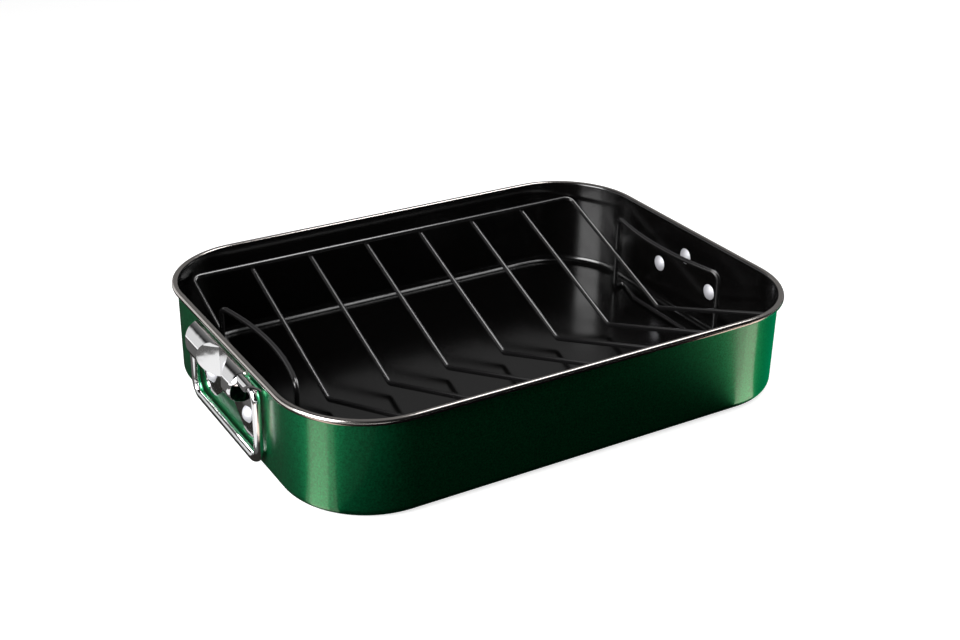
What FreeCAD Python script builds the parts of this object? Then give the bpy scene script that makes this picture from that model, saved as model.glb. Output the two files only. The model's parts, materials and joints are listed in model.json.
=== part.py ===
"""Roasting pan with a loose V-shaped wire rack.

Millimetres. X runs along the pan, Y across it and Z up, with the origin
under the middle of the pan, on the surface that it stands on.
"""
import FreeCAD, Part
import math
import os

Vec = FreeCAD.Vector
UP = Vec(0, 0, 1)

# Pan: one sheet, drawn deep, with its edge rolled outwards
pan_length = 400.0            # over the rolled rim
pan_width = 301.0             # over the rolled rim
pan_height = 74.0
rim_corner_radius = 66.7      # outside of the rim, in plan
sheet = 0.8
rim_roll_diameter = 4.7
rim_roll_turn = 300.0         # degrees of roll, from the wall over the top
floor_bend_radius = 6.7       # outside of the bend from floor to wall

# Handle brackets: a half-pipe hood with a recess pressed into its middle and two lobes below
bracket_sheet = 1.2
hood_radius = 13.7
hood_axis_drop = 21.5         # rim top down to the hood's axis
hood_top_half_length = 52.0
hood_end_slant = 26.5         # degrees off upright, drawn in towards the bottom
mouth_end_cut = 11.0          # how much shorter the other end is, so that the bail can be sprung in
shutter_height = 8.5          # the top part of that end which is closed, down to its mouth
shutter_edge_radius = 5.0     # from the hood over to the closed part
lip_wall_reach = 59.0         # lip over the bail's elbow, from the bracket's middle, near the wall
lip_outer_reach = 46.5        # the same at the lip's outside
lip_gap = 0.4                 # stub to the inside of the lip
lip_drop = 1.5                # middle of the stub down to the lip's edge
recess_half_width = 22.5      # at the hood's outermost line
recess_offset = 3.0           # middle of the recess away from the mouth
recess_draft = 42.0           # degrees that its walls lean outwards
recess_land_rise = 11.0       # hood axis up to the top of its flat land
recess_land_corner_radius = 2.0
lobe_radius = 15.5
lobe_spacing = 64.0           # between the two lower rivets
lobe_drop = 20.2              # hood axis down to the lower rivets
notch_drop = 15.0             # hood axis down to the point between the lobes
lobe_shoulder_angle = 30.0    # where a lobe's outer edge leaves its round, degrees above level

# Rivets
upper_rivet_drop = 1.5        # hood axis down to the upper rivet
rivet_shank_diameter = 5.0
rivet_hole_gap = 0.02         # all round the shank
inner_head_diameter = 12.8
inner_head_height = 2.2
outer_head_diameter = 12.0
outer_head_height = 3.4

# Bails
bail_wire_diameter = 6.4
bail_wall_gap = 1.0           # hanging bail to end wall
bail_hood_gap = 0.5           # stub to the inside of the hood
bail_leg_gap = 1.0            # leg to the end of the hood
bail_bar_height = 8.8         # middle of the bar above the table
bail_elbow_radius = 6.0
bail_corner_radius = 10.0
stub_recess_gap = 1.5         # end of a stub to the back of the recess

# Rack
rack_wire = 3.8
weld_depth = 0.4              # how far crossing wires sink into each other
rack_seat_gap = 0.3           # under the stands
rail_wall_gap = 12.0          # side rail to side wall
rail_height = 59.8            # middle of the rails above the floor
valley_height = 9.8           # middle of the end wires' valley above the floor
frame_corner_radius = 7.0
valley_radius = 5.0
cross_wire_count = 6
cross_wire_overrun = 1.4      # wire end past the middle of its rail
stand_height = 64.6           # middle of the grip above the floor
stand_half_width = 64.6       # middle of the legs
stand_jog_half_width = 36.0   # where the foot leaves the straight bar
toe_wall_gap = 8.3            # toe to end wall
toe_reach = 9.8               # toe beyond the legs
toe_radius = 3.2
ankle_radius = 3.6
jog_radius = 12.0
grip_corner_radius = 7.0
grip_bow_angle = 13.5         # degrees that the grip leans inwards at its ends
grip_straight = 1.0           # left straight between the grip's corner and its bow

# What follows from them
half_length = pan_length / 2
half_width = pan_width / 2
rim_roll_radius = rim_roll_diameter / 2
wall_x = half_length - rim_roll_diameter + sheet
wall_y = half_width - rim_roll_diameter + sheet
hood_axis_z = pan_height - hood_axis_drop
hood_top_z = hood_axis_z + hood_radius
lobe_z = hood_axis_z - lobe_drop
upper_rivet_z = hood_axis_z - upper_rivet_drop
rivet_grip = sheet + bracket_sheet
hood_low_z = hood_axis_z - hood_radius
mouth_top_z = hood_top_z - shutter_height
bail_radius = bail_wire_diameter / 2
pivot_out = bail_radius + bail_wall_gap
pivot_x = wall_x + pivot_out
pivot_reach = hood_radius - bracket_sheet - bail_radius - bail_hood_gap
pivot_z = hood_axis_z + math.sqrt(pivot_reach ** 2 - pivot_out ** 2)
bail_leg_y = hood_top_half_length + bail_leg_gap + bail_radius
lip_radius = bail_radius + lip_gap + bracket_sheet
lip_low_z = pivot_z - lip_drop
wire_radius = rack_wire / 2
weld_pitch = rack_wire - weld_depth
rail_y = wall_y - sheet - rail_wall_gap - wire_radius
rail_z = sheet + rail_height
valley_z = sheet + valley_height
toe_x = wall_x - sheet - toe_wall_gap - wire_radius
leg_x = toe_x - toe_reach
end_wire_x = leg_x - weld_pitch
foot_z = sheet + rack_seat_gap + wire_radius
grip_z = sheet + stand_height


def line(start, end):
    return Part.LineSegment(start, end).toShape()


def arc(centre, radius, start, middle, end):
    """An arc in the XZ plane through three angles in degrees."""
    points = []
    for angle in (start, middle, end):
        turn = math.radians(angle)
        points.append(centre + Vec(math.cos(turn), 0, math.sin(turn)) * radius)
    return Part.Arc(*points).toShape()


def turned(shape):
    """The same piece, turned round to the other end of the pan."""
    copy = shape.copy()
    copy.rotate(Vec(), UP, 180)
    return copy


def tangent_length(before, corner, after, radius):
    """Length that a bend of this radius takes off each run at a corner."""
    turn = (corner - before).getAngle(after - corner)
    return radius * math.tan(turn / 2)


def bend(before, corner, after, radius, wire):
    """The bent piece of a round wire at one corner of its route."""
    run_in = (corner - before).normalize()
    run_out = (after - corner).normalize()
    axis = run_in.cross(run_out).normalize()
    start = corner - run_in * tangent_length(before, corner, after, radius)
    middle = start + axis.cross(run_in) * radius
    disc = Part.Face(Part.Wire(Part.makeCircle(wire, start, run_in)))
    return disc.revolve(middle, axis, math.degrees(run_in.getAngle(run_out)))


def bent_wire(points, radii, wire, closed=False):
    """A round wire along straight runs, with a bend at each corner.

    radii has one bend radius per point, and None at the two free ends.
    """
    count = len(points)
    trims = []
    pieces = []
    for i, radius in enumerate(radii):
        if radius is None:
            trims.append(0.0)
            continue
        corner = points[i - 1], points[i], points[(i + 1) % count]
        trims.append(tangent_length(*corner, radius))
        pieces.append(bend(*corner, radius, wire))
    for i in range(count if closed else count - 1):
        j = (i + 1) % count
        run = points[j] - points[i]
        length = run.Length - trims[i] - trims[j]
        along = run.normalize()
        pieces.append(Part.makeCylinder(wire, length, points[i] + along * trims[i], along))
    return pieces[0].multiFuse(pieces[1:]).removeSplitter()


def wall_section():
    """Sheet section from floor bend to rolled rim, with X outwards from a corner's axis."""
    out = rim_corner_radius - rim_roll_diameter + sheet
    inner_roll = rim_roll_radius - sheet
    roll_middle = Vec(out + inner_roll, 0, pan_height - rim_roll_radius)
    roll_end = 180.0 - rim_roll_turn
    roll_half = 180.0 - rim_roll_turn / 2
    bend_middle = Vec(out - floor_bend_radius, 0, floor_bend_radius)
    inside_of_roll = arc(roll_middle, inner_roll, 180, roll_half, roll_end)
    outside_of_roll = arc(roll_middle, rim_roll_radius, roll_end, roll_half, 180)
    edges = [
        arc(bend_middle, floor_bend_radius, 270, 315, 360),
        line(Vec(out, 0, floor_bend_radius), Vec(out, 0, roll_middle.z)),
        inside_of_roll,
        line(inside_of_roll.Vertexes[-1].Point, outside_of_roll.Vertexes[0].Point),
        outside_of_roll,
        line(Vec(out - sheet, 0, roll_middle.z), Vec(out - sheet, 0, floor_bend_radius)),
        arc(bend_middle, floor_bend_radius - sheet, 360, 315, 270),
        line(Vec(bend_middle.x, 0, sheet), Vec(bend_middle.x, 0, 0)),
    ]
    return Part.Face(Part.Wire(edges))


def rounded_slab(half_x, half_y, radius, thickness):
    """Flat plate with rounded corners, standing on Z = 0."""
    block = Part.makeBox(2 * half_x, 2 * half_y, thickness, Vec(-half_x, -half_y, 0))
    upright = [edge for edge in block.Edges if abs(edge.tangentAt(edge.FirstParameter).z) > 0.5]
    return block.makeFillet(radius, upright)


def pan_body():
    """Four walls, four corners and the floor, all of one sheet."""
    corner_x = half_length - rim_corner_radius
    corner_y = half_width - rim_corner_radius
    section = wall_section()
    pieces = []
    for quarter in range(4):
        along, across = (corner_x, corner_y) if quarter % 2 == 0 else (corner_y, corner_x)
        wall = section.extrude(Vec(0, 2 * across, 0))
        wall.translate(Vec(along, -across, 0))
        corner = section.revolve(Vec(), UP, 90)
        corner.translate(Vec(along, across, 0))
        for piece in (wall, corner):
            piece.rotate(Vec(), UP, 90 * quarter)
            pieces.append(piece)
    flat = rim_corner_radius - rim_roll_diameter + sheet - floor_bend_radius
    floor = rounded_slab(corner_x + flat, corner_y + flat, flat, sheet)
    bores = rivet_bores()
    return floor.multiFuse(pieces).removeSplitter().cut(bores + [turned(bore) for bore in bores])


def rivet_places():
    """Y and Z of the three rivets of a bracket."""
    half = lobe_spacing / 2
    return {"upper": (0.0, upper_rivet_z), "front": (-half, lobe_z), "rear": (half, lobe_z)}


def rivet_bores():
    """The right-hand rivets' holes, through wall and bracket."""
    radius = rivet_shank_diameter / 2 + rivet_hole_gap
    bores = []
    for y, z in rivet_places().values():
        bores.append(Part.makeCylinder(radius, rivet_grip, Vec(wall_x - sheet, y, z), Vec(1, 0, 0)))
    return bores


def domed_head(diameter, height):
    """Rivet head on the plane X = 0, domed along X."""
    rim = diameter / 2
    sphere = (rim ** 2 + height ** 2) / (2 * height)
    ball = Part.makeSphere(sphere, Vec(height - sphere, 0, 0))
    block = Part.makeBox(height, diameter, diameter, Vec(0, -rim, -rim))
    return ball.common(block)


def rivet(y, z):
    """Right-hand rivet, with a dome inside the pan and one outside."""
    shank = Part.makeCylinder(rivet_shank_diameter / 2, rivet_grip, Vec(), Vec(1, 0, 0))
    outer = domed_head(outer_head_diameter, outer_head_height)
    outer.translate(Vec(rivet_grip, 0, 0))
    inner = turned(domed_head(inner_head_diameter, inner_head_height))
    whole = shank.multiFuse([outer, inner])
    whole.translate(Vec(wall_x - sheet, y, z))
    return whole


def hood_end_y(z):
    """How far the slanted plain end of the hood stands from its middle, at a height."""
    return hood_top_half_length - (hood_top_z - z) * math.tan(math.radians(hood_end_slant))


def half_pipe(shell):
    """Half-round bar under the rim, its flat side on the end wall and its mouth at the rear.

    shell is the thickness taken off all round, but not off the ends where the hood is open.
    """
    start = Vec(wall_x, -hood_top_half_length, hood_axis_z)
    bar = Part.makeCylinder(hood_radius - shell, 2 * hood_top_half_length, start, Vec(0, 1, 0))
    ends = [(hood_low_z, 0.0), (hood_top_z, shell)]
    if shell:
        ends[1:1] = [(mouth_top_z, 0.0), (mouth_top_z, shell)]
    outline = [Vec(wall_x, -hood_end_y(z), z) for z in (hood_top_z, hood_low_z)]
    outline += [Vec(wall_x, hood_end_y(z) - mouth_end_cut - closed, z) for z, closed in ends]
    pipe = bar.common(Part.Face(Part.makePolygon(outline + outline[:1])).extrude(Vec(hood_radius, 0, 0)))
    over = []
    for edge in pipe.Edges:
        box = edge.BoundBox
        if box.XLength > 0.5 * hood_radius and box.YMin > 0 and box.ZMax > hood_top_z - 2 * bracket_sheet:
            over.append(edge)
    return pipe.makeFillet(shutter_edge_radius - shell, over)


def stub_bar(radius):
    """Round bar along the bail's stub, from inside the hood out past its mouth."""
    start = Vec(pivot_x, hood_end_y(hood_low_z) - mouth_end_cut, pivot_z)
    return Part.makeCylinder(radius, hood_top_half_length, start, Vec(0, 1, 0))


def lip():
    """Arch over the bail's stub and elbow, cut off slantwise, on the closed part of the hood's end."""
    near = wall_x + bracket_sheet
    far = pivot_x + lip_radius
    outline = [
        Vec(near, 0, lip_low_z), Vec(near, lip_wall_reach, lip_low_z),
        Vec(far, lip_outer_reach, lip_low_z), Vec(far, 0, lip_low_z),
    ]
    over_mouth = Part.Face(Part.makePolygon(outline + outline[:1])).extrude(Vec(0, 0, hood_radius))
    return stub_bar(lip_radius).common(over_mouth)


def recess(grown):
    """Recess in the middle of the hood, open below, drafted down to a flat land for the upper rivet."""
    draft = math.radians(recess_draft)
    land_x = wall_x + bracket_sheet
    land_half = recess_half_width - (hood_radius - bracket_sheet) * math.tan(draft)
    low = hood_low_z - hood_radius
    sections = []
    for rise in (-grown, 2 * hood_radius):
        spread = rise * math.tan(draft) + grown / math.cos(draft)
        radius = recess_land_corner_radius + spread
        straight = land_half + spread - radius
        top = hood_axis_z + recess_land_rise + spread
        left, right = -recess_offset - straight, -recess_offset + straight
        x = land_x + rise

        def corner(y, first):
            points = []
            for angle in (first, first - 45, first - 90):
                turn = math.radians(angle)
                points.append(Vec(x, y + radius * math.cos(turn), top - radius + radius * math.sin(turn)))
            return Part.Arc(*points).toShape()

        outline = [
            Vec(x, left - radius, top - radius), Vec(x, left, top),
            Vec(x, right, top), Vec(x, right + radius, top - radius),
        ]
        feet = [Vec(x, right + radius, low), Vec(x, left - radius, low)]
        sections.append(Part.Wire([
            corner(left, 180), line(outline[1], outline[2]), corner(right, 90),
            line(outline[3], feet[0]), line(feet[0], feet[1]), line(feet[1], outline[0]),
        ]))
    return Part.makeLoft(sections, True, True)


def lobe(side):
    """Flat plate round one lower rivet, on side 1 (rear) or -1 (front) of the notch."""
    notch = Vec(wall_x, 0, hood_axis_z - notch_drop)
    middle = Vec(wall_x, side * lobe_spacing / 2, lobe_z)
    shoulder = Vec(wall_x, side * hood_end_y(hood_axis_z), hood_axis_z)
    to_notch = notch - middle
    touch = math.atan2(to_notch.z, side * to_notch.y) + math.acos(lobe_radius / to_notch.Length)
    end = 2 * math.pi + math.radians(lobe_shoulder_angle)

    def on_round(angle):
        return middle + Vec(0, side * math.cos(angle), math.sin(angle)) * lobe_radius

    top = Vec(wall_x, 0, hood_axis_z)
    edges = [
        line(top, notch),
        line(notch, on_round(touch)),
        Part.Arc(on_round(touch), on_round((touch + end) / 2), on_round(end)).toShape(),
        line(on_round(end), shoulder),
        line(shoulder, top),
    ]
    return Part.Face(Part.Wire(edges)).extrude(Vec(bracket_sheet, 0, 0))


def handle_bracket():
    """Right-hand bracket, stamped from one sheet."""
    outside = half_pipe(0.0).multiFuse([lip(), lobe(1), lobe(-1)]).cut(recess(0.0))
    tunnel = half_pipe(bracket_sheet).cut(recess(bracket_sheet))
    stub_way = stub_bar(lip_radius - bracket_sheet)
    return outside.cut([tunnel, stub_way] + rivet_bores()).removeSplitter()


def bail():
    """Right-hand bail, hanging straight down from its two stubs."""
    stub_y = recess_offset + recess_half_width + bracket_sheet + stub_recess_gap
    half = [
        (Vec(pivot_x, stub_y, pivot_z), None),
        (Vec(pivot_x, bail_leg_y, pivot_z), bail_elbow_radius),
        (Vec(pivot_x, bail_leg_y, bail_bar_height), bail_corner_radius),
    ]
    points, radii = zip(*half, *across(half))
    return bent_wire(points, radii, bail_radius)


def across(route):
    """The same stretch of a wire's route on the other side of the XZ plane, run back."""
    return [(Vec(point.x, -point.y, point.z), radius) for point, radius in reversed(route)]


def rack_frame():
    """One closed wire: two side rails, joined at each end by a V."""
    points = []
    radii = []
    for end in (1, -1):
        for side, z, radius in (
            (-end, rail_z, frame_corner_radius),
            (0, valley_z, valley_radius),
            (end, rail_z, frame_corner_radius),
        ):
            points.append(Vec(end * end_wire_x, side * rail_y, z))
            radii.append(radius)
    return bent_wire(points, radii, wire_radius, closed=True)


def cross_wire(x, frame):
    """V-bent wire across the rack, sunk a little into the undersides of the rails."""
    slope = math.atan2(rail_z - valley_z, rail_y)
    low_z = valley_z - weld_pitch / math.cos(slope)
    end_y = rail_y + cross_wire_overrun
    end_z = low_z + end_y * math.tan(slope)
    points = [Vec(x, -end_y, end_z), Vec(x, 0, low_z), Vec(x, end_y, end_z)]
    return bent_wire(points, [None, valley_radius, None], wire_radius).cut(frame)


def rack_stand(frame):
    """Right-hand stand: bar and toes on the floor, two legs, and a bowed grip on top."""
    bow = math.radians(grip_bow_angle)
    bow_run = stand_half_width / math.cos(bow) - grip_corner_radius - grip_straight
    half = [
        (Vec(leg_x, stand_jog_half_width, foot_z), jog_radius),
        (Vec(toe_x, stand_half_width, foot_z), toe_radius),
        (Vec(leg_x, stand_half_width, foot_z), ankle_radius),
        (Vec(leg_x, stand_half_width, grip_z), grip_corner_radius),
    ]
    grip_middle = (Vec(leg_x - stand_half_width * math.tan(bow), 0, grip_z), bow_run / math.tan(bow))
    points, radii = zip(*half, grip_middle, *across(half))
    return bent_wire(points, radii, wire_radius, closed=True).cut(frame)


def save(name, shape):
    shape.exportStep(os.path.join("parts", name + ".step"))
    print(name, "solids", len(shape.Solids), "valid", shape.isValid(), "volume", round(shape.Volume, 1))


def save_both_ends(name, shape):
    """One piece at the right-hand end, and the same piece turned round at the left."""
    save("right_" + name, shape)
    save("left_" + name, turned(shape))


os.makedirs("parts", exist_ok=True)
save("pan_body", pan_body())
save_both_ends("handle_bracket", handle_bracket())
save_both_ends("bail", bail())
for place, (rivet_y, rivet_z) in rivet_places().items():
    save("right_" + place + "_rivet", rivet(rivet_y, rivet_z))
    save("left_" + place + "_rivet", turned(rivet(-rivet_y, rivet_z)))
rack = rack_frame()
save("rack_frame", rack)
save_both_ends("rack_stand", rack_stand(rack))
cross_wire_pitch = 2 * end_wire_x / (cross_wire_count + 1)
for number in range(1, cross_wire_count + 1):
    save("rack_cross_wire_%d" % number, cross_wire(number * cross_wire_pitch - end_wire_x, rack))
print("bail pivot", round(pivot_x, 3), round(pivot_z, 3))
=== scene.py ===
"""Looks of the roasting pan with its wire rack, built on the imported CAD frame."""
import json
import math

import bmesh
import bpy
from mathutils import Matrix, Vector

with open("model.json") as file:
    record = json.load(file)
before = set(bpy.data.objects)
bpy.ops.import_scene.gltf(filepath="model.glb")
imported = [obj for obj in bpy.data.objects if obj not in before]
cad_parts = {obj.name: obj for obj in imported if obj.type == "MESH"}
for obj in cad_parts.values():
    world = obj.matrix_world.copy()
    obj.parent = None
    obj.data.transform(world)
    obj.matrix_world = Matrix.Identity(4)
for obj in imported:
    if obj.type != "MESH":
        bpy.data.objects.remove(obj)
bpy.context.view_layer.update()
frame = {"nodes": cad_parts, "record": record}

MM = 0.001

# The pan's sheet: lacquered outside, coated inside, and bare on its rolled rim
SHEET = 0.8 * MM
BEND_RADIUS = 6.7 * MM
RIM_ROLL = 4.7 * MM
RIM_CORNER_RADIUS = 66.7 * MM
MASK_MARGIN = 0.3 * MM
RIM_CORNER = max(tuple(corner) for corner in frame["nodes"]["pan_body"].bound_box)
CORNER_AXIS = (RIM_CORNER[0] - RIM_CORNER_RADIUS, RIM_CORNER[1] - RIM_CORNER_RADIUS, 0.0)
WALL_REACH = RIM_CORNER_RADIUS - RIM_ROLL + SHEET
RIM_LOW = RIM_CORNER[2] - RIM_ROLL - MASK_MARGIN
RIM_COATING_END = WALL_REACH - MASK_MARGIN

# The photograph's camera
CAMERA_PLACE = (-0.50046, -0.82195, 0.51966)
CAMERA_AZIMUTH = -31.47
CAMERA_ELEVATION = 26.452
CAMERA_ROLL = 1.082
CAMERA_LENS = 54.10

# The studio: what the lamps point at, how high a lamp on the table lies, and the colours of the glowing
# sheets, which paint highlights and a green sheen into the shine
PAN_MIDDLE = (0.0, 0.0, 0.03)
TABLE_LAMP_HEIGHT = 2 * MM
PAINTED_HIGHLIGHT_WHITE = "#ffeadb"
PAINTED_SHEEN_GREEN = "#00ffb0"

# A glowing sheet is black in itself, so that only its glow counts: that glow is a painted highlight in the
# shine, not a lamp
GLOWING_SHEET_BASE = "#000000"

# Socket numbers of the Mix node: its two numbers, its two colours and the mixed colour
NUMBER_A, NUMBER_B = 2, 3
COLOUR_A, COLOUR_B, MIXED_COLOUR = 6, 7, 2


def linear(hex_colour):
    """An sRGB hex colour as linear RGBA."""
    channels = []
    for start in (1, 3, 5):
        value = int(hex_colour[start:start + 2], 16) / 255
        channels.append(value / 12.92 if value <= 0.04045 else ((value + 0.055) / 1.055) ** 2.4)
    return (*channels, 1.0)


def node(tree, kind, inputs=None, **settings):
    """Adds a node with its settings, input values and links."""
    made = tree.nodes.new(kind)
    for name, value in settings.items():
        setattr(made, name, value)
    for key, value in (inputs or {}).items():
        if isinstance(value, bpy.types.NodeSocket):
            tree.links.new(value, made.inputs[key])
        else:
            made.inputs[key].default_value = value
    return made


def finish_tree(name):
    """A new material with an empty node tree."""
    material = bpy.data.materials.new(name)
    material.use_nodes = True
    material.node_tree.nodes.clear()
    return material, material.node_tree


def pan_zones(tree, place):
    """Masks on the pan: 1 on its coated inside, and 1 on the bare metal of its rolled rim.

    All four corners are folded onto one. A point's reach from that corner's axis, and its depth from the
    middle of the floor bend, then tell which side of the sheet it is on.
    """
    height = node(tree, "ShaderNodeSeparateXYZ", {0: place}).outputs["Z"]
    folded = node(tree, "ShaderNodeVectorMath", {0: place}, operation="ABSOLUTE").outputs[0]
    offset = node(tree, "ShaderNodeVectorMath", {0: folded, 1: CORNER_AXIS}, operation="SUBTRACT").outputs[0]
    beyond = node(tree, "ShaderNodeVectorMath", {0: offset, 1: (0, 0, 0)}, operation="MAXIMUM").outputs[0]
    level = node(tree, "ShaderNodeVectorMath", {0: beyond, 1: (1, 1, 0)}, operation="MULTIPLY").outputs[0]
    reach = node(tree, "ShaderNodeVectorMath", {0: level}, operation="LENGTH").outputs["Value"]

    bend_middle = WALL_REACH - BEND_RADIUS
    sheet_middle = BEND_RADIUS - SHEET / 2
    side = node(tree, "ShaderNodeMath", {0: reach, 1: bend_middle}, operation="SUBTRACT").outputs[0]
    side = node(tree, "ShaderNodeMath", {0: side, 1: 0.0}, operation="MAXIMUM").outputs[0]
    drop = node(tree, "ShaderNodeMath", {0: BEND_RADIUS, 1: height}, operation="SUBTRACT").outputs[0]
    drop = node(tree, "ShaderNodeMath", {0: drop, 1: 0.0}, operation="MAXIMUM").outputs[0]
    section = node(tree, "ShaderNodeCombineXYZ", {"X": side, "Y": drop}).outputs[0]
    depth = node(tree, "ShaderNodeVectorMath", {0: section}, operation="LENGTH").outputs["Value"]
    inside = node(tree, "ShaderNodeMath", {0: depth, 1: sheet_middle}, operation="LESS_THAN").outputs[0]

    high = node(tree, "ShaderNodeMath", {0: height, 1: RIM_LOW}, operation="GREATER_THAN").outputs[0]
    outer = node(tree, "ShaderNodeMath", {0: reach, 1: RIM_COATING_END}, operation="GREATER_THAN").outputs[0]
    bare = node(tree, "ShaderNodeMath", {0: high, 1: outer}, operation="MULTIPLY").outputs[0]
    below_roll = node(tree, "ShaderNodeMath", {0: high, 1: bare}, operation="SUBTRACT").outputs[0]
    inside = node(tree, "ShaderNodeMath", {0: inside, 1: below_roll}, operation="MAXIMUM").outputs[0]
    return inside, bare


def lacquered_steel_sheet():
    """Carbon steel sheet, sprayed outside with green metallic lacquer and inside with black non-stick.

    The lacquer has fine bright flakes under a clear top, the non-stick is a smooth satin black with
    a fine speckle, and the rolled edge is left bare and polished.
    """
    material, tree = finish_tree("green_lacquer_and_nonstick_on_steel")
    place = node(tree, "ShaderNodeTexCoord").outputs["Object"]
    inside, bare = pan_zones(tree, place)

    # Flakes and speckle are drawn about 1 mm wide, because real ones of 0.1 mm don't show
    flake_width = 1.2 * MM
    speckle_width = 0.9 * MM
    flakes = node(tree, "ShaderNodeTexNoise", {"Vector": place, "Scale": 1 / flake_width, "Detail": 2.0})
    flakes = node(tree, "ShaderNodeMapRange", {
        "Value": flakes.outputs[0], "From Min": 0.3, "From Max": 0.7,
    })
    lacquer = node(tree, "ShaderNodeMix", {
        0: flakes.outputs[0], COLOUR_A: linear("#12804f"), COLOUR_B: linear("#1eac6c"),
    }, data_type="RGBA")
    speckle = node(tree, "ShaderNodeTexNoise", {"Vector": place, "Scale": 1 / speckle_width, "Detail": 2.0})
    nonstick = node(tree, "ShaderNodeMix", {
        0: speckle.outputs[0], COLOUR_A: linear("#020202"), COLOUR_B: linear("#090808"),
    }, data_type="RGBA")
    coated = node(tree, "ShaderNodeMix", {
        0: inside, COLOUR_A: lacquer.outputs[MIXED_COLOUR], COLOUR_B: nonstick.outputs[MIXED_COLOUR],
    }, data_type="RGBA")
    colour = node(tree, "ShaderNodeMix", {
        0: bare, COLOUR_A: coated.outputs[MIXED_COLOUR], COLOUR_B: linear("#cdc7c3"),
    }, data_type="RGBA")

    # Flakes and bare steel are metal, the non-stick isn't, and only the lacquer has a clear top
    metal = node(tree, "ShaderNodeMath", {0: 1.0, 1: inside}, operation="SUBTRACT").outputs[0]
    clear = node(tree, "ShaderNodeMath", {0: metal, 1: bare}, operation="SUBTRACT").outputs[0]
    rough = node(tree, "ShaderNodeMix", {0: inside, NUMBER_A: 0.41, NUMBER_B: 0.18}).outputs[0]
    rough = node(tree, "ShaderNodeMix", {0: bare, NUMBER_A: rough, NUMBER_B: 0.20}).outputs[0]
    shader = node(tree, "ShaderNodeBsdfPrincipled", {
        "Base Color": colour.outputs[MIXED_COLOUR], "Metallic": metal, "Roughness": rough,
        "IOR": 1.7, "Coat Weight": clear, "Coat Roughness": 0.15, "Coat IOR": 1.8,
    })
    node(tree, "ShaderNodeOutputMaterial", {"Surface": shader.outputs[0]})
    return material


def chromed_steel():
    """Chrome-plated pressed steel and wire: a bright mirror, a little uneven from pressing."""
    material, tree = finish_tree("chrome_plated_steel")
    place = node(tree, "ShaderNodeTexCoord").outputs["Object"]
    wave_width = 9 * MM
    smear_width = 5 * MM
    waves = node(tree, "ShaderNodeTexNoise", {"Vector": place, "Scale": 1 / wave_width, "Detail": 1.0})
    smears = node(tree, "ShaderNodeTexNoise", {"Vector": place, "Scale": 1 / smear_width, "Detail": 3.0})
    rough = node(tree, "ShaderNodeMapRange", {"Value": smears.outputs[0], "To Min": 0.04, "To Max": 0.12})
    bump = node(tree, "ShaderNodeBump", {"Height": waves.outputs[0], "Strength": 0.08, "Distance": 1 * MM})
    shader = node(tree, "ShaderNodeBsdfPrincipled", {
        "Base Color": linear("#e9e9ea"), "Metallic": 1.0,
        "Roughness": rough.outputs[0], "Normal": bump.outputs[0],
    })
    node(tree, "ShaderNodeOutputMaterial", {"Surface": shader.outputs[0]})
    return material


def rivet_aluminium():
    """Solid aluminium rivets, set cold: satin domes with a soft grain."""
    material, tree = finish_tree("set_aluminium")
    place = node(tree, "ShaderNodeTexCoord").outputs["Object"]
    # The grain is drawn 1.5 mm wide, because the real one is too fine to show
    grain_width = 1.5 * MM
    grain = node(tree, "ShaderNodeTexNoise", {"Vector": place, "Scale": 1 / grain_width, "Detail": 3.0})
    rough = node(tree, "ShaderNodeMapRange", {"Value": grain.outputs[0], "To Min": 0.50, "To Max": 0.62})
    bump = node(tree, "ShaderNodeBump", {"Height": grain.outputs[0], "Strength": 0.08, "Distance": 0.3 * MM})
    shader = node(tree, "ShaderNodeBsdfPrincipled", {
        "Base Color": linear("#d2d2d7"), "Metallic": 0.6,
        "Roughness": rough.outputs[0], "Normal": bump.outputs[0],
    })
    node(tree, "ShaderNodeOutputMaterial", {"Surface": shader.outputs[0]})
    return material


def coated_rack_wire():
    """Steel wire dipped in black non-stick: semi-gloss, with a faint orange peel."""
    material, tree = finish_tree("black_dip_coating")
    place = node(tree, "ShaderNodeTexCoord").outputs["Object"]
    peel_width = 1.6 * MM
    peel = node(tree, "ShaderNodeTexNoise", {"Vector": place, "Scale": 1 / peel_width, "Detail": 2.0})
    colour = node(tree, "ShaderNodeMix", {
        0: peel.outputs[0], COLOUR_A: linear("#0a0a0a"), COLOUR_B: linear("#141314"),
    }, data_type="RGBA")
    rough = node(tree, "ShaderNodeMapRange", {"Value": peel.outputs[0], "To Min": 0.22, "To Max": 0.28})
    bump = node(tree, "ShaderNodeBump", {"Height": peel.outputs[0], "Strength": 0.015, "Distance": 0.2 * MM})
    shader = node(tree, "ShaderNodeBsdfPrincipled", {
        "Base Color": colour.outputs[MIXED_COLOUR], "IOR": 1.6,
        "Roughness": rough.outputs[0], "Normal": bump.outputs[0],
    })
    node(tree, "ShaderNodeOutputMaterial", {"Surface": shader.outputs[0]})
    return material


def pieces_with(slot):
    """The CAD nodes that have this material slot."""
    subparts = frame["record"]["subparts"]
    return [frame["nodes"][subpart["node"]] for subpart in subparts if subpart["material_slot"] == slot]


def dress_cad_nodes():
    """Gives each CAD node the finish of its material slot."""
    finishes = {
        "pan_sheet": lacquered_steel_sheet(),
        "handle_chrome": chromed_steel(),
        "rivet_metal": rivet_aluminium(),
        "rack_coating": coated_rack_wire(),
    }
    for slot, finish in finishes.items():
        for piece in pieces_with(slot):
            for material_slot in piece.material_slots:
                material_slot.material = finish


def flat_stage_piece(name, outline, z, material):
    """A level sheet of the studio with this outline."""
    mesh = bpy.data.meshes.new(name)
    sheet = bmesh.new()
    corners = [sheet.verts.new((x, y, z)) for x, y in outline]
    bmesh.ops.contextual_create(sheet, geom=corners)
    sheet.to_mesh(mesh)
    sheet.free()
    mesh.materials.append(material)
    piece = bpy.data.objects.new(name, mesh)
    bpy.context.scene.collection.objects.link(piece)
    return piece


def oblong(low, high):
    """Corners of a level rectangle."""
    return [low, (high[0], low[1]), high, (low[0], high[1])]


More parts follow.
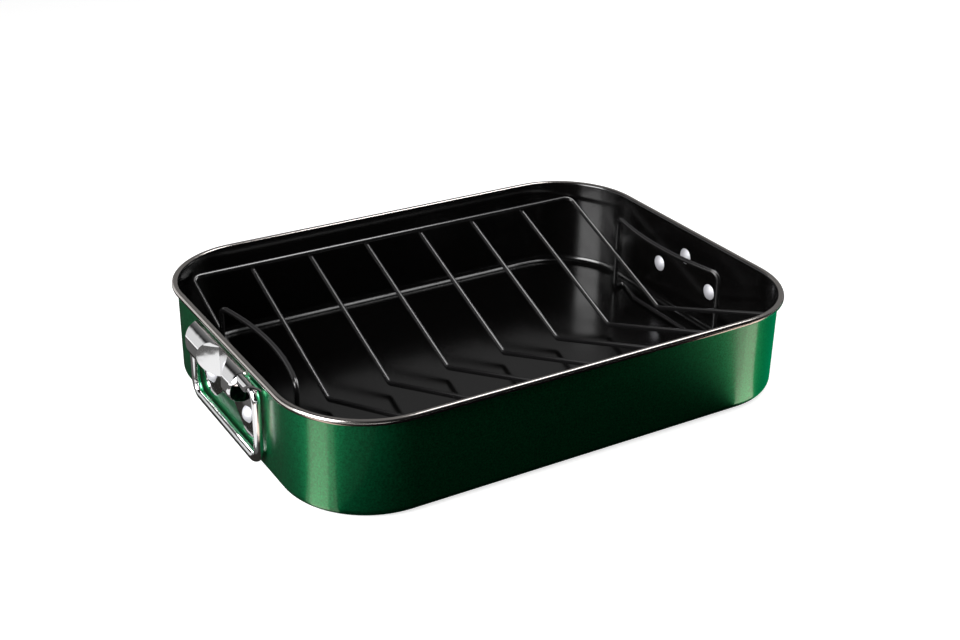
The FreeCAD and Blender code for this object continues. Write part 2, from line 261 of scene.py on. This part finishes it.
def seen_background(tree):
    """1 for the rays that show the background itself: from the camera, in metal and through glass."""
    path = node(tree, "ShaderNodeLightPath").outputs
    seen = path["Is Camera Ray"]
    for kind in ("Is Glossy Ray", "Is Transmission Ray"):
        seen = node(tree, "ShaderNodeMath", {0: seen, 1: path[kind]}, operation="MAXIMUM").outputs[0]
    return seen


def white_floor():
    """A white table top, lifted to white where it is looked at, that keeps the pan's shadow."""
    material, tree = finish_tree("white_table")
    lift = node(tree, "ShaderNodeMath", {0: seen_background(tree), 1: 0.70}, operation="MULTIPLY")
    glow = node(tree, "ShaderNodeEmission", {"Strength": lift.outputs[0]})
    paint = node(tree, "ShaderNodeBsdfDiffuse", {"Color": linear("#c8c8c8")})
    both = node(tree, "ShaderNodeAddShader", {0: paint.outputs[0], 1: glow.outputs[0]})
    node(tree, "ShaderNodeOutputMaterial", {"Surface": both.outputs[0]})
    return flat_stage_piece("floor", oblong((-8, -8), (8, 8)), -0.2 * MM, material)


def painted_reflection_finish(name, hex_colour, glow=0.0, glow_colour=PAINTED_HIGHLIGHT_WHITE):
    """A matt sheet's finish: dark for painted shade in the shine, or glowing for a painted highlight or
    sheen.
    """
    material, tree = finish_tree(name)
    sheet = node(tree, "ShaderNodeBsdfPrincipled", {
        "Base Color": linear(hex_colour), "Specular IOR Level": 0.0,
        "Emission Color": linear(glow_colour), "Emission Strength": glow,
    })
    node(tree, "ShaderNodeOutputMaterial", {"Surface": sheet.outputs[0]})
    return material


def painted_reflection_sheets():
    """Sheets on the table, seen only in the object's shine, each a little above the one it covers.

    They are painted reflections: grey and black ones paint shade into the lacquer's shine, glowing strips
    paint the white highlight stripes on the two near corners, and the green one paints a green sheen on
    the lacquer beyond the right-hand stripe.
    and the green one brightens the lacquer beyond the right-hand stripe.
    """
    # The grey and black sheets are painted shade, seen only in the object's reflections
    painted_dim_reflection = oblong((-0.55, -0.55), (0.55, 0.50))
    painted_dark_reflection = oblong((-0.19, -6.0), (2.0, 6.0))
    # Glowing strips: painted highlight stripes on the near corners, seen only in the shine
    painted_corner_highlight = [(0.133, -0.150), (0.456, -0.520), (0.575, -0.385), (0.154, -0.146)]
    painted_end_highlight = [(-0.190, -0.110), (-0.330, -0.088), (-0.330, -0.162), (-0.183, -0.1225)]
    painted_end_highlight_fringe = [(-0.193, -0.106), (-0.335, -0.078), (-0.335, -0.190), (-0.178, -0.128)]
    # Glowing green sheet: a painted green sheen on the lacquer beyond the right-hand stripe, seen only in the
    # shine
    painted_green_sheen = [(0.150, -0.143), (0.360, -0.264), (0.360, -0.06), (0.195, -0.06)]
    for name, outline, z, finish in (
        ("painted_dim_reflection", painted_dim_reflection, 0.3 * MM, painted_reflection_finish("painted_dim_reflection", "#2a2826")),
        ("painted_dark_reflection", painted_dark_reflection, 0.5 * MM, painted_reflection_finish("painted_dark_reflection", "#040404")),
        ("painted_corner_highlight", painted_corner_highlight, 0.7 * MM, painted_reflection_finish("right_painted_highlight", GLOWING_SHEET_BASE, 1.5)),
        ("painted_end_highlight", painted_end_highlight, 0.7 * MM, painted_reflection_finish("left_painted_highlight", GLOWING_SHEET_BASE, 1.15)),
        ("painted_end_highlight_fringe", painted_end_highlight_fringe, 0.6 * MM, painted_reflection_finish("left_painted_pale_highlight", GLOWING_SHEET_BASE, 0.45)),
        ("painted_green_sheen", painted_green_sheen, 0.6 * MM, painted_reflection_finish("painted_green_sheen", GLOWING_SHEET_BASE, 0.27, PAINTED_SHEEN_GREEN)),
    ):
        card = flat_stage_piece(name, outline, z, finish)
        card.visible_camera = False
        card.visible_diffuse = False
        card.visible_shadow = False


def studio_world():
    """White to the eye, a dim fill on matt surfaces, and in the shine a bright low wall on the left."""
    world = bpy.data.worlds.new("studio")
    bpy.context.scene.world = world
    world.use_nodes = True
    tree = world.node_tree
    tree.nodes.clear()
    way = node(tree, "ShaderNodeTexCoord").outputs["Generated"]
    way = node(tree, "ShaderNodeSeparateXYZ", {0: way}).outputs

    # The wall is dark overhead, dim on the right and dark again on the camera's side
    wall = node(tree, "ShaderNodeMapRange", {
        "Value": way["Z"], "From Min": 0.36, "From Max": 0.44, "To Min": 1.0, "To Max": 0.02,
    }).outputs[0]
    right = node(tree, "ShaderNodeMapRange", {
        "Value": way["X"], "From Min": -0.30, "From Max": -0.05, "To Min": 0.0, "To Max": 1.0,
    }).outputs[0]
    wall = node(tree, "ShaderNodeMix", {0: right, NUMBER_A: wall, NUMBER_B: 0.24}).outputs[0]
    far = node(tree, "ShaderNodeMapRange", {
        "Value": way["Y"], "From Min": -0.45, "From Max": -0.10, "To Min": 0.03, "To Max": 1.0,
    }).outputs[0]
    wall = node(tree, "ShaderNodeMath", {0: wall, 1: far}, operation="MULTIPLY").outputs[0]

    fill = 0.20
    path = node(tree, "ShaderNodeLightPath").outputs
    shine = node(tree, "ShaderNodeMix", {0: seen_background(tree), NUMBER_A: fill, NUMBER_B: wall}).outputs[0]
    shown = node(tree, "ShaderNodeMix", {0: path["Is Camera Ray"], NUMBER_A: shine, NUMBER_B: 1.0}).outputs[0]
    light = node(tree, "ShaderNodeBackground", {"Strength": shown})
    node(tree, "ShaderNodeOutputWorld", {"Surface": light.outputs[0]})


def softbox(name, place, aim, size, watts, lit=()):
    """A rectangular studio lamp that the camera doesn't see. If lit holds pieces, it lights only those."""
    lamp = bpy.data.lights.new(name, "AREA")
    lamp.shape = "RECTANGLE"
    lamp.size, lamp.size_y = size
    lamp.energy = watts
    holder = bpy.data.objects.new(name, lamp)
    bpy.context.scene.collection.objects.link(holder)
    holder.location = place
    holder.rotation_euler = (Vector(aim) - Vector(place)).to_track_quat("-Z", "Y").to_euler()
    holder.visible_camera = False
    if lit:
        holder.light_linking.receiver_collection = bpy.data.collections.new(name)
        for piece in lit:
            holder.light_linking.receiver_collection.objects.link(piece)


def studio_lamps(table):
    """Softboxes round the pan, and lamps of their own for the rack and the handles.

    The photograph's chrome mirrors a bright table where its lacquer mirrors a dark one. So the lamps that
    lie on the table light only the handles. The right-hand lamp leaves out the pan's sheet, because it
    would whiten the rim, and the rack has a lamp that leaves the sheet behind it dark.
    """
    handles = pieces_with("handle_chrome")
    rack = pieces_with("rack_coating")
    all_but_sheet = [table, *handles, *rack, *pieces_with("rivet_metal")]
    over_right_end = (0.75, -0.10)
    softbox("left_softbox", (-1.15, -0.172, 0.62), PAN_MIDDLE, (0.85, 0.90), 27)
    softbox("right_softbox", (1.30, 0.10, 0.38), PAN_MIDDLE, (1.10, 0.60), 18, all_but_sheet)
    softbox("top_softbox", (*over_right_end, 1.30), (*over_right_end, 0.0), (0.7, 0.5), 5)
    softbox("rack_lamp", (0.30, 0.0, 1.30), (0.0, 0.0, 0.0), (1.1, 0.6), 20, rack)
    for name, x, y, size, watts in (
        ("handle_lamp", -0.265, -0.13, (0.06, 0.35), 0.060),
        ("left_handle_fill", -0.47, 0.0, (0.5, 0.7), 0.11),
        ("right_handle_fill", 0.47, 0.0, (0.5, 0.7), 0.22),
    ):
        softbox(name, (x, y, TABLE_LAMP_HEIGHT), (x, y, 1.0), size, watts, handles)


def photograph_camera():
    """The camera at the photograph's place, with its slight roll."""
    azimuth = math.radians(CAMERA_AZIMUTH)
    elevation = math.radians(CAMERA_ELEVATION)
    roll = math.radians(CAMERA_ROLL)
    back = Vector((
        math.sin(azimuth) * math.cos(elevation), -math.cos(azimuth) * math.cos(elevation), math.sin(elevation)
    ))
    right = Vector((math.cos(azimuth), math.sin(azimuth), 0))
    up = back.cross(right)
    across = right * math.cos(roll) + up * math.sin(roll)
    axes = Matrix((across, back.cross(across), back)).transposed()
    lens = bpy.data.cameras.new("photograph_camera")
    lens.lens = CAMERA_LENS
    lens.sensor_width = 36.0
    holder = bpy.data.objects.new("photograph_camera", lens)
    bpy.context.scene.collection.objects.link(holder)
    holder.matrix_world = Matrix.Translation(CAMERA_PLACE) @ axes.to_4x4()
    bpy.context.scene.camera = holder


dress_cad_nodes()
table = white_floor()
painted_reflection_sheets()
studio_world()
studio_lamps(table)
photograph_camera()
bpy.context.scene.view_settings.view_transform = "Standard"
